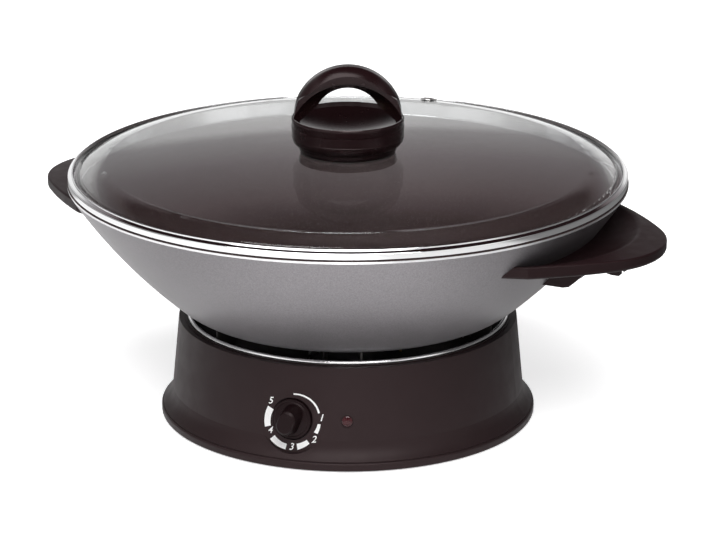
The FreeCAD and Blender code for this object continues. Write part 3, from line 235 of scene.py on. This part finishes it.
def blend_colours(tree, factor, first, second):
    """Mix of two colours."""
    node = tree.nodes.new("ShaderNodeMix")
    node.data_type = "RGBA"
    for socket, value in ((node.inputs[6], first), (node.inputs[7], second)):
        if isinstance(value, tuple):
            socket.default_value = value
        else:
            tree.links.new(value, socket)
    tree.links.new(factor, node.inputs[0])
    return node.outputs[2]


def roughen(tree, shader, height, depth):
    """Bump of a depth in metres."""
    node = tree.nodes.new("ShaderNodeBump")
    node.inputs["Distance"].default_value = depth
    tree.links.new(height, node.inputs["Height"])
    tree.links.new(node.outputs["Normal"], shader.inputs["Normal"])


def axis_distance(tree):
    """Distance from the Z axis."""
    where = place(tree)
    x = channel(tree, where, 0)
    y = channel(tree, where, 1)
    square = maths(tree, "ADD", maths(tree, "MULTIPLY", x, x), maths(tree, "MULTIPLY", y, y))
    return maths(tree, "SQRT", square)


def turning_marks(tree, size):
    """Fine rings about the Z axis, as spinning or turning leaves them."""
    node = tree.nodes.new("ShaderNodeTexNoise")
    node.noise_dimensions = "1D"
    node.inputs["Scale"].default_value = 1 / size
    node.inputs["Detail"].default_value = 3
    tree.links.new(axis_distance(tree), node.inputs["W"])
    return node.outputs["Fac"]


# ---------------------------------------------------------------- materials

def moulded_plastic(name, dark, light, rough_low, rough_high, sheen=0.3):
    """Moulded plastic with a fine spark-eroded grain; sheen is the strength of its reflections."""
    material, tree, shader = new_material(name, Specular_IOR_Level=sheen, Specular_Tint=WARM_SHEEN)
    cloud = noise(tree, 30 * MM, 3)
    tree.links.new(blend_colours(tree, cloud, dark, light), shader.inputs["Base Color"])
    rough = remap(tree, noise(tree, 12 * MM, 4), 0.3, 0.7, rough_low, rough_high)
    tree.links.new(rough, shader.inputs["Roughness"])
    roughen(tree, shader, noise(tree, 0.35 * MM, 2, 0.6), 0.012 * MM)
    return material


def pan_paint():
    """Silver-grey metallic stove enamel with fine flake."""
    material, tree, shader = new_material("pan_paint", Metallic=0.75, Coat_Weight=0.15, Coat_Roughness=0.25)
    flake = speckle(tree, 0.45 * MM)
    grey = blend_colours(tree, flake, (0.156, 0.147, 0.155, 1), (0.242, 0.229, 0.240, 1))
    tree.links.new(grey, shader.inputs["Base Color"])
    tree.links.new(remap(tree, flake, 0, 1, 0.36, 0.50), shader.inputs["Roughness"])
    roughen(tree, shader, noise(tree, 0.6 * MM, 3, 0.6), 0.02 * MM)
    return material


def non_stick():
    """Dark grey non-stick coating with a fine fleck and faint spinning rings."""
    material, tree, shader = new_material("non_stick_coating", Specular_IOR_Level=0.25,
                                          Specular_Tint=WARM_SHEEN)
    fleck = remap(tree, speckle(tree, 0.5 * MM), 0.86, 0.98, 0, 1)
    grey = blend_colours(tree, fleck, (0.026, 0.015, 0.015, 1), (0.06, 0.048, 0.046, 1))
    tree.links.new(grey, shader.inputs["Base Color"])
    tree.links.new(remap(tree, noise(tree, 20 * MM, 3), 0.3, 0.7, 0.48, 0.58), shader.inputs["Roughness"])
    roughen(tree, shader, turning_marks(tree, 0.8 * MM), 0.03 * MM)
    return material


def dark_enamel():
    """Heat-stained dark enamel of the bowl under the element."""
    material, tree, shader = new_material("bowl_enamel", Specular_IOR_Level=0.4)
    cloud = noise(tree, 25 * MM, 4, 0.6)
    black = blend_colours(tree, cloud, (0.012, 0.011, 0.011, 1), (0.030, 0.026, 0.024, 1))
    tree.links.new(black, shader.inputs["Base Color"])
    tree.links.new(remap(tree, cloud, 0.3, 0.7, 0.42, 0.6), shader.inputs["Roughness"])
    roughen(tree, shader, noise(tree, 0.8 * MM, 2), 0.01 * MM)
    return material


def polished_metal(name, colour, rough_low, rough_high, wave=0.0):
    """Polished or plated metal; wave is the depth of faint dents."""
    material, tree, shader = new_material(name, Metallic=1.0, Base_Color=colour)
    smudge = noise(tree, 9 * MM, 5, 0.6)
    tree.links.new(remap(tree, smudge, 0.35, 0.75, rough_low, rough_high), shader.inputs["Roughness"])
    if wave:
        roughen(tree, shader, noise(tree, 25 * MM, 1), wave)
    return material


def spun_metal(name, colour, rough_low, rough_high, depth):
    """Bare sheet with rings about the Z axis."""
    material, tree, shader = new_material(name, Metallic=1.0, Base_Color=colour)
    rings = turning_marks(tree, 0.5 * MM)
    tree.links.new(remap(tree, rings, 0.3, 0.7, rough_low, rough_high), shader.inputs["Roughness"])
    roughen(tree, shader, rings, depth)
    return material


def plain_steel(name, colour, rough):
    """Zinc-plated or bright steel of small fittings, a little cloudy."""
    material, tree, shader = new_material(name, Metallic=1.0)
    cloud = noise(tree, 3 * MM, 4)
    dull = tuple(part * 0.8 for part in colour[:3]) + (1,)
    tree.links.new(blend_colours(tree, cloud, dull, colour), shader.inputs["Base Color"])
    tree.links.new(remap(tree, cloud, 0.3, 0.7, rough, rough + 0.15), shader.inputs["Roughness"])
    return material


def element_sheath():
    """Heating element's sheath, oxidised dark with browner patches."""
    material, tree, shader = new_material("element_sheath", Metallic=0.6)
    patches = noise(tree, 14 * MM, 4, 0.6)
    brown = blend_colours(tree, patches, (0.035, 0.030, 0.028, 1), (0.11, 0.085, 0.065, 1))
    tree.links.new(brown, shader.inputs["Base Color"])
    tree.links.new(remap(tree, patches, 0.3, 0.7, 0.42, 0.62), shader.inputs["Roughness"])
    roughen(tree, shader, noise(tree, 0.5 * MM, 2), 0.01 * MM)
    return material


def clear_glass():
    """Tempered glass: clear, faintly grey, and open to light for shadows."""
    material, tree, shader = new_material("clear_glass", Base_Color=(0.93, 0.94, 0.94, 1), IOR=1.5,
                                          Transmission_Weight=1.0)
    tree.links.new(remap(tree, noise(tree, 40 * MM, 2), 0.4, 0.8, 0.0, 0.02), shader.inputs["Roughness"])
    open_to_light = tree.nodes.new("ShaderNodeBsdfTransparent")
    open_to_light.inputs["Color"].default_value = (0.87, 0.885, 0.885, 1)
    rays = tree.nodes.new("ShaderNodeLightPath")
    either = maths(tree, "MAXIMUM", rays.outputs["Is Shadow Ray"], rays.outputs["Is Diffuse Ray"])
    mix = tree.nodes.new("ShaderNodeMixShader")
    tree.links.new(either, mix.inputs[0])
    tree.links.new(shader.outputs[0], mix.inputs[1])
    tree.links.new(open_to_light.outputs[0], mix.inputs[2])
    tree.links.new(mix.outputs[0], tree.nodes["Material Output"].inputs["Surface"])
    return material


def lens_plastic():
    """Deep red translucent lens, moulded with fine facets."""
    material, tree, shader = new_material("lens_red", IOR=1.49, Transmission_Weight=0.35,
                                          Specular_IOR_Level=0.2)
    cells = speckle(tree, 0.7 * MM)
    red = blend_colours(tree, cells, (0.058, 0.003, 0.007, 1), (0.076, 0.005, 0.010, 1))
    tree.links.new(red, shader.inputs["Base Color"])
    tree.links.new(remap(tree, cells, 0, 1, 0.12, 0.25), shader.inputs["Roughness"])
    return material


def glazed_ceramic():
    """Off-white ceramic with a thin glaze."""
    material, tree, shader = new_material("glazed_ceramic", Coat_Weight=0.5, Coat_Roughness=0.1)
    cloud = noise(tree, 6 * MM, 3)
    cream = blend_colours(tree, cloud, (0.70, 0.67, 0.60, 1), (0.80, 0.78, 0.72, 1))
    tree.links.new(cream, shader.inputs["Base Color"])
    tree.links.new(remap(tree, cloud, 0.3, 0.7, 0.35, 0.5), shader.inputs["Roughness"])
    return material


def white_print():
    """Screen print, slightly worn."""
    material, tree, shader = new_material("white_print", Specular_IOR_Level=0.3)
    wear = noise(tree, 0.6 * MM, 3)
    ink = blend_colours(tree, remap(tree, wear, 0.55, 0.75, 0, 0.25), WHITE_PRINT, WORN_PRINT)
    tree.links.new(ink, shader.inputs["Base Color"])
    tree.links.new(remap(tree, wear, 0.3, 0.7, 0.45, 0.6), shader.inputs["Roughness"])
    return material


# ---------------------------------------------------------------- dressing the CAD nodes

def dress(names, material):
    """Give whole CAD nodes one material."""
    for name in names:
        mesh = nodes[name].data
        mesh.materials.clear()
        mesh.materials.append(material)


def dress_pan(outside, inside, lip, bottom):
    """Paint outside, non-stick inside and on top of the lip, its upright edge polished, the bottom turned."""
    mesh = nodes["pan_shell"].data
    mesh.materials.clear()
    finishes = (outside, inside, lip, bottom)
    for material in finishes:
        mesh.materials.append(material)
    for face in mesh.polygons:
        centre = face.center
        # The third length keeps the divisor above zero on the axis.
        out = (face.normal.x * centre.x + face.normal.y * centre.y) / math.hypot(centre.x, centre.y, MM)
        if centre.z > pan_lip_low and out > lip_facing:
            finish = lip
        elif centre.z < pan_bottom + bottom_margin:
            finish = bottom
        elif face.normal.z > inside_facing or (face.normal.z > -inside_facing and out < 0):
            finish = inside
        else:
            finish = outside
        face.material_index = finishes.index(finish)


def dress_bowl(inside, roll):
    """Dark enamel with a plated rolled rim."""
    mesh = nodes["reflector_bowl"].data
    mesh.materials.clear()
    mesh.materials.append(inside)
    mesh.materials.append(roll)
    for face in mesh.polygons:
        centre = face.center
        on_roll = centre.z > bowl_roll_low and math.hypot(centre.x, centre.y) > bowl_roll_inner
        face.material_index = 1 if on_roll else 0


def dress_all():
    """Materials of every CAD node."""
    housing = moulded_plastic("housing_plastic", rough_low=0.44, rough_high=0.52, sheen=0.2,
                              dark=(0.0165, 0.0090, 0.0098, 1), light=(0.0210, 0.0122, 0.0130, 1))
    knob = moulded_plastic("knob_plastic", rough_low=0.20, rough_high=0.28, sheen=0.22,
                           dark=(0.0085, 0.0030, 0.0036, 1), light=(0.0115, 0.0048, 0.0054, 1))
    dial = moulded_plastic("dial_plastic", rough_low=0.32, rough_high=0.40, sheen=0.12,
                           dark=(0.0072, 0.0028, 0.0034, 1), light=(0.0098, 0.0044, 0.0050, 1))
    handle = moulded_plastic("handle_plastic", rough_low=0.36, rough_high=0.46, sheen=0.15,
                             dark=(0.0095, 0.0035, 0.0042, 1), light=(0.0130, 0.0058, 0.0065, 1))
    cover = moulded_plastic("cover_plastic", rough_low=0.5, rough_high=0.62,
                            dark=(0.022, 0.022, 0.022, 1), light=(0.030, 0.030, 0.030, 1))
    rubber = moulded_plastic("foot_rubber", rough_low=0.7, rough_high=0.85,
                             dark=(0.018, 0.018, 0.018, 1), light=(0.026, 0.025, 0.025, 1))
    silicone = moulded_plastic("seal_silicone", rough_low=0.5, rough_high=0.6,
                               dark=(0.020, 0.018, 0.018, 1), light=(0.030, 0.026, 0.026, 1))
    chrome = polished_metal("rim_steel", (0.86, 0.86, 0.865, 1), 0.06, 0.13, wave=0.01 * MM)
    lip = polished_metal("pan_lip_metal", (0.78, 0.78, 0.79, 1), 0.14, 0.24)
    roll = polished_metal("bowl_rim_plating", (0.80, 0.80, 0.805, 1), 0.12, 0.2)
    bottom = spun_metal("pan_bottom_metal", (0.55, 0.55, 0.56, 1), 0.25, 0.4, 0.02 * MM)
    steel = plain_steel("fitting_steel", (0.62, 0.61, 0.60, 1), 0.25)
    brass = plain_steel("fitting_brass", (0.72, 0.53, 0.27, 1), 0.25)
    neon = plain_steel("lamp_electrode", (0.75, 0.55, 0.45, 1), 0.2)
    dress(["base_housing"], housing)
    dress(["dial_knob"], dial)
    dress(["lid_knob", "knob_base"], knob)
    dress(["handle_right", "handle_left"], handle)
    dress(["bottom_cover", "thermostat_body"], cover)
    dress(["rubber_feet", "cord_gland"], rubber)
    dress(["knob_seat", "knob_seal"], silicone)
    lid_rim_band(chrome)
    enamel = dark_enamel()
    dress_bowl(enamel, roll)
    bowl_rim_skin(roll)
    dress(["pan_supports"], enamel)
    dress(["cover_screws", "bowl_screws", "element_pins", "element_cradles", "sensor_bulb",
           "sensor_bracket", "dial_spindle", "handle_bracket_right", "handle_bracket_left", "handle_screws",
           "knob_washer", "knob_screw", "vent_eyelet"], steel)
    dress(["capillary_tube", "thermostat_nut", "knob_insert"], brass)
    dress(["heating_element"], element_sheath())
    dress(["thermal_fuse", "terminal_block"], glazed_ceramic())
    dress(["pilot_lamp_lens"], lens_plastic())
    dress(["pilot_lamp_neon"], neon)
    dress(["lid_glass"], clear_glass())
    dress_pan(pan_paint(), non_stick(), lip, bottom)


# ---------------------------------------------------------------- lid rim and bowl rim

def rounded(radius, height, size, start, end, steps=6):
    """Points of an arc in the profile's plane, between two angles in degrees."""
    points = []
    for i in range(steps + 1):
        angle = math.radians(start + (end - start) * i / steps)
        points.append((radius + size * math.cos(angle), height + size * math.sin(angle)))
    return points


def lathed(name, outline):
    """Solid ring about the Z axis from a closed outline of radii and heights in millimetres."""
    points = []
    for i in range(turning_steps):
        angle = 2 * math.pi * i / turning_steps
        for radius, height in outline:
            points.append((radius * math.cos(angle) * MM, radius * math.sin(angle) * MM, height * MM))
    count = len(outline)
    faces = []
    for i in range(turning_steps):
        here, there = i * count, (i + 1) % turning_steps * count
        for j in range(count):
            k = (j + 1) % count
            faces.append((here + j, there + j, there + k, here + k))
    mesh = bpy.data.meshes.new(name)
    mesh.from_pydata(points, [], faces)
    mesh.shade_smooth()
    mesh.set_sharp_from_angle(angle=crease_angle)
    piece = bpy.data.objects.new(name, mesh)
    bpy.context.scene.collection.objects.link(piece)
    return piece


def lid_rim_band(material):
    """The lid's rim with its narrow flange and the bead along the glass."""
    inner_skirt = skirt_foot_radius - rim_sheet
    bead_inner = bead_radius - bead_half
    bead_outer = bead_radius + bead_half
    outline = [(rim_radius, rim_low + rim_round)]
    outline += rounded(rim_radius - rim_round, rim_band_top - rim_round, rim_round, 0, 90)
    outline.append((rim_radius - rim_round - flange_inset, rim_band_top + flange_outer_rise))
    outline.append((bead_outer, rim_band_top + flange_inner_rise))
    outline += rounded(bead_radius, bead_middle, bead_half, 0, 180, bead_steps)
    outline += [(bead_inner, bead_foot + bead_foot_bevel), (bead_inner + rim_sheet, bead_foot)]
    outline.append((bead_inner + rim_sheet + bead_corner, bead_foot + bead_corner))
    outline.append((rim_radius - rim_sheet, rim_band_top - rim_sheet))
    outline += [(rim_radius - rim_sheet, rim_channel_low), (skirt_top_radius - rim_sheet, rim_channel_low)]
    outline += rounded(inner_skirt, skirt_foot + skirt_hem, skirt_hem, 90, 270)
    outline += [(skirt_foot_radius, skirt_foot), (skirt_top_radius, rim_low)]
    outline.append((rim_radius - rim_round, rim_low))
    rim = lathed("lid_rim_band", outline)
    rim.data.materials.append(material)
    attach(rim, "lid")
    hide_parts("lid_rim")


def bowl_rim_skin(material):
    """Even, plated skin over the bowl's rolled rim."""
    last_turn = 360 - 360 / roll_steps
    ring = lathed("bowl_rim_skin", rounded(roll_radius, roll_middle, roll_half, 0, last_turn, roll_steps - 1))
    ring.data.materials.append(material)
    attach(ring, "base")


# ---------------------------------------------------------------- printed scale

def on_wall(across, up):
    """Point of the print on the housing wall, from its distances across and up from the dial's centre."""
    height = dial_height + (up + scale_slope * across - scale_drop) * math.cos(wall_lean)
    radius = wall_radius + (wall_top - height) * math.tan(wall_lean) + print_lift
    angle = across / radius + dial_bearing
    return Vector((radius * math.sin(angle), -radius * math.cos(angle), height))


def clock_point(radius, angle):
    """Point at a clock angle in radians, from twelve o'clock."""
    return on_wall(radius * math.sin(angle) + scale_offset, radius * math.cos(angle))


def printed_arc(name, start, end, start_width, end_width):
    """Band of the scale between two clock angles in degrees, its width changing evenly along it."""
    first, last = math.radians(start), math.radians(end)
    steps = max(2, round((last - first) / arc_step))
    points = []
    for i in range(steps + 1):
        share = i / steps
        angle = first + (last - first) * share
        width = start_width + (end_width - start_width) * share
        points.append(clock_point(scale_radius + width / 2, angle))
        points.append(clock_point(scale_radius - width / 2, angle))
    faces = [(2 * i, 2 * i + 1, 2 * i + 3, 2 * i + 2) for i in range(steps)]
    mesh = bpy.data.meshes.new(name)
    mesh.from_pydata(points, [], faces)
    return mesh


def printed_digit(name, text, angle, radius):
    """Upright digit whose middle is at a clock angle in degrees and a distance from the dial's centre."""
    curve = bpy.data.curves.new(name, "FONT")
    curve.body = text
    curve.size = digit_size
    curve.shear = digit_slant
    curve.offset = digit_weight
    curve.resolution_u = 3
    curve.align_x = "CENTER"
    curve.align_y = "CENTER"
    flat = bpy.data.objects.new(name + "_flat", curve)
    bpy.context.scene.collection.objects.link(flat)
    mesh = bpy.data.meshes.new_from_object(flat)
    bpy.data.objects.remove(flat)
    turn = math.radians(angle)
    centre = (radius * math.sin(turn) + scale_offset, radius * math.cos(turn))
    for vertex in mesh.vertices:
        vertex.co = on_wall(vertex.co.x + centre[0], vertex.co.y + centre[1])
    return mesh


def print_scale():
    """The dial's arcs and numbers."""
    ink = white_print()
    meshes = []
    for i, (start, end, start_width, end_width) in enumerate(scale_arcs):
        meshes.append(printed_arc(f"scale_arc_{i}", start, end, start_width * MM, end_width * MM))
    for number, (angle, radius) in enumerate(scale_digits, 1):
        meshes.append(printed_digit(f"scale_digit_{number}", str(number), angle, radius * MM))
    for mesh in meshes:
        mesh.materials.clear()
        mesh.materials.append(ink)
        piece = bpy.data.objects.new(mesh.name, mesh)
        bpy.context.scene.collection.objects.link(piece)
        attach(piece, "base")


# ---------------------------------------------------------------- studio

def pale_when_seen(tree):
    """Light path node, and 1 for the rays that show the background: camera, glossy and transmission."""
    rays = tree.nodes.new("ShaderNodeLightPath")
    seen = maths(tree, "MAXIMUM", rays.outputs["Is Camera Ray"], rays.outputs["Is Glossy Ray"])
    return rays, maths(tree, "MAXIMUM", seen, rays.outputs["Is Transmission Ray"])


def along(tree, vector, bearing):
    """How far a vector reaches in a level direction, an angle round from +X."""
    node = tree.nodes.new("ShaderNodeVectorMath")
    node.operation = "DOT_PRODUCT"
    node.inputs[1].default_value = (math.cos(bearing), math.sin(bearing), 0)
    tree.links.new(vector, node.inputs[0])
    return node.outputs["Value"]


def studio_floor():
    """White table that keeps the shadow; mirrored, it is darker beside and behind the object."""
    half = floor_half
    mesh = bpy.data.meshes.new("floor")
    corners = [(-half, -half, 0), (half, -half, 0), (half, half, 0), (-half, half, 0)]
    mesh.from_pydata(corners, [], [(0, 1, 2, 3)])
    floor = bpy.data.objects.new("floor", mesh)
    bpy.context.scene.collection.objects.link(floor)
    material, tree, shader = new_material("floor", Roughness=0.9, Specular_IOR_Level=0.0)
    rays, seen = pale_when_seen(tree)
    right_back = along(tree, place(tree), camera_azimuth + math.radians(45))
    back = along(tree, place(tree), camera_azimuth + math.radians(90))
    behind = maths(tree, "MAXIMUM", remap(tree, right_back, *floor_right_back, smooth=True),
                   remap(tree, back, *floor_back, smooth=True))
    right = along(tree, place(tree), camera_azimuth)
    beside = maths(tree, "MAXIMUM", remap(tree, right, *floor_right, smooth=True),
                   remap(tree, right, *floor_left, smooth=True))
    shade = maths(tree, "MAXIMUM", behind, beside)
    mirrored = maths(tree, "MULTIPLY", rays.outputs["Is Glossy Ray"], shade)
    lit = maths(tree, "SUBTRACT", 1.0, mirrored)
    pale = blend_colours(tree, lit, FLOOR_SHADED, FLOOR_WHITE)
    tree.links.new(blend_colours(tree, seen, FLOOR_BOUNCE, pale), shader.inputs["Base Color"])
    shader.inputs["Emission Color"].default_value = (1, 1, 1, 1)
    glow = maths(tree, "MULTIPLY", lit, floor_glow)
    tree.links.new(maths(tree, "MULTIPLY", seen, glow), shader.inputs["Emission Strength"])
    mesh.materials.append(material)


def studio_world():
    """White to the camera; in reflections and through glass white low down, dark above and at the sides."""
    world = bpy.data.worlds.new("studio")
    world.use_nodes = True
    tree = world.node_tree
    background = tree.nodes["Background"]
    direction = tree.nodes.new("ShaderNodeTexCoord").outputs["Generated"]
    height = channel(tree, direction, 2)
    rightward = along(tree, direction, camera_azimuth)
    shift = remap(tree, rightward, *backdrop_shift, smooth=True)
    sideways = maths(tree, "MULTIPLY", rightward, rightward)
    level = maths(tree, "SUBTRACT", maths(tree, "ADD", height, shift), sideways)
    rays = tree.nodes.new("ShaderNodeLightPath")
    right = along(tree, direction, camera_azimuth + math.radians(backdrop_right_bearing))
    left = along(tree, direction, camera_azimuth + math.radians(backdrop_left_bearing))
    right_side = remap(tree, right, *backdrop_right, smooth=True)
    left_side = remap(tree, left, *backdrop_left, smooth=True)
    open_part = maths(tree, "SUBTRACT", 1.0, maths(tree, "ADD", right_side, left_side))
    glossy = blend_colours(tree, open_part, (0, 0, 0, 1), graded(tree, level, backdrop_stops))
    mirrored = maths(tree, "MAXIMUM", rays.outputs["Is Glossy Ray"], rays.outputs["Is Transmission Ray"])
    lit = blend_colours(tree, mirrored, fill_light, glossy)
    seen = rays.outputs["Is Camera Ray"]
    tree.links.new(blend_colours(tree, seen, lit, (1, 1, 1, 1)), background.inputs["Color"])
    background.inputs["Strength"].default_value = 1.0
    bpy.context.scene.world = world


def soft_box(name, bearing, elevation, distance, size, power):
    """Rectangular soft box aimed at the object; its bearing is in degrees from the camera to the right."""
    light = bpy.data.lights.new(name, "AREA")
    light.shape = "RECTANGLE"
    light.size, light.size_y = size
    light.energy = power
    lamp = bpy.data.objects.new(name, light)
    turn = camera_azimuth + math.radians(bearing)
    rise = math.radians(elevation)
    away = Vector((math.sin(turn) * math.cos(rise), -math.cos(turn) * math.cos(rise), math.sin(rise)))
    lamp.location = lamp_aim + away * distance
    lamp.rotation_mode = "QUATERNION"
    lamp.rotation_quaternion = away.to_track_quat("Z", "Y")
    bpy.context.scene.collection.objects.link(lamp)


def studio_lights():
    """Large soft boxes: overhead, above the camera, and low ones left and right of it."""
    soft_box("overhead_box", bearing=-25, elevation=66, distance=1.6, size=(1.3, 1.2), power=24)
    soft_box("front_box", bearing=8, elevation=42, distance=1.9, size=(1.2, 0.6), power=20)
    soft_box("left_box", bearing=-62, elevation=28, distance=1.9, size=(0.9, 1.2), power=0.8)
    soft_box("right_box", bearing=58, elevation=24, distance=2.2, size=(0.8, 1.2), power=1)


def photo_camera():
    """Camera at the photograph's angle and framing."""
    data = bpy.data.cameras.new("camera")
    data.sensor_width = sensor_width
    data.lens = focal_pixels * sensor_width / photo_width
    data.shift_x = (photo_width / 2 - target_pixel[0]) / photo_width
    data.shift_y = (target_pixel[1] - photo_height / 2) / photo_width
    data.clip_end = 50
    camera = bpy.data.objects.new("camera", data)
    level = math.cos(camera_elevation)
    away = Vector((math.sin(camera_azimuth) * level, -math.cos(camera_azimuth) * level,
                   math.sin(camera_elevation)))
    camera.location = camera_target + away * camera_distance
    camera.rotation_mode = "QUATERNION"
    camera.rotation_quaternion = away.to_track_quat("Z", "Y")
    bpy.context.scene.collection.objects.link(camera)
    bpy.context.scene.camera = camera


dress_all()
# The glass mirrors no knob.
nodes["lid_knob"].visible_glossy = False
print_scale()
studio_floor()
studio_world()
studio_lights()
photo_camera()
bpy.context.scene.view_settings.view_transform = "Standard"
